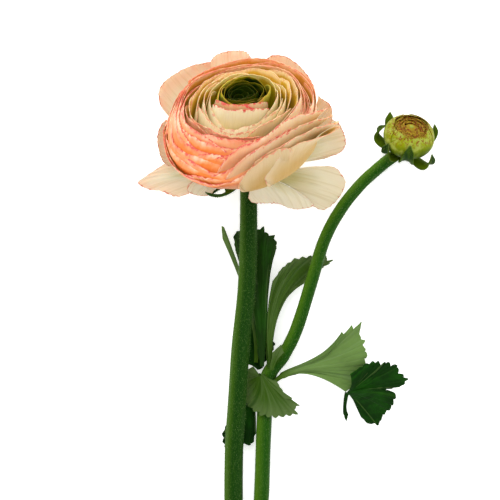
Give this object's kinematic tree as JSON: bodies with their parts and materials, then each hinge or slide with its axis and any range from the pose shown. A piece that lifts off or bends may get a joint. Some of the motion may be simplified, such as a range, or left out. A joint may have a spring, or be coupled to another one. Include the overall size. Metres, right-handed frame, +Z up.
{
  "type": "ranunculus flower",
  "caption": "Cut ranunculus lying down: an open, tightly layered bloom on a hairy stem, with a side shoot that bears toothed leaves and a round bud.",
  "frame": {"origin": "bottom centre of the box round the flower as it lies", "axes": "+Y along the stem from its cut end to the bloom, +X to the side of the bud, +Z up from the surface that it lies on"},
  "size_m": [0.1082, 0.2282, 0.0513],
  "materials": {
    "petal": "soft, slightly velvety petal, peach with coral edges",
    "guard_petal": "soft, slightly velvety petal, cream with faint veins",
    "heart": "matt dark green, tightly folded young petals",
    "stem": "satin green under fine pale hairs",
    "sepal": "matt green with fine pale hairs",
    "bud": "soft yellow-green petals with red-brown specks at the tips",
    "leaf": "satin green leaf with sunken veins"
  },
  "bodies": {
    "root": {"bract": "leaf", "bud_core": "bud", "bud_petal_1": "bud", "bud_petal_2": "bud", "bud_petal_3": "bud", "bud_sepal_back_left": "sepal", "bud_sepal_front": "sepal", "bud_sepal_front_left": "sepal", "bud_sepal_front_right": "sepal", "bud_sepal_left": "sepal", "bud_sepal_right": "sepal", "guard_petal_back": "guard_petal", "guard_petal_back_left": "guard_petal", "guard_petal_back_right": "guard_petal", "guard_petal_front": "guard_petal", "guard_petal_front_left": "guard_petal", "guard_petal_left": "guard_petal", "guard_petal_left_low": "guard_petal", "guard_petal_right": "guard_petal", "guard_petal_right_low": "guard_petal", "guard_petal_right_upper": "guard_petal", "heart": "heart", "leaf_broad": "leaf", "leaf_low": "leaf", "leaf_middle": "leaf", "leaf_right": "leaf", "leaf_right_curl": "leaf", "leaf_right_front": "leaf", "leaf_slender": "leaf", "leaf_tucked": "leaf", "leaf_upright": "leaf", "petal_01": "petal", "petal_02": "petal", "petal_03": "petal", "petal_04": "petal", "petal_05": "petal", "petal_06": "petal", "petal_07": "petal", "petal_08": "petal", "petal_09": "petal", "petal_10": "petal", "petal_11": "petal", "petal_12": "petal", "petal_13": "petal", "petal_14": "petal", "petal_15": "petal", "petal_16": "petal", "petal_17": "petal", "petal_18": "petal", "petal_19": "petal", "petal_20": "petal", "receptacle": "stem", "sepal_back_left": "sepal", "sepal_back_right": "sepal", "sepal_front": "sepal", "sepal_left": "sepal", "sepal_right": "sepal", "stem_main": "stem", "stem_side": "stem"}
  },
  "joints": []
}
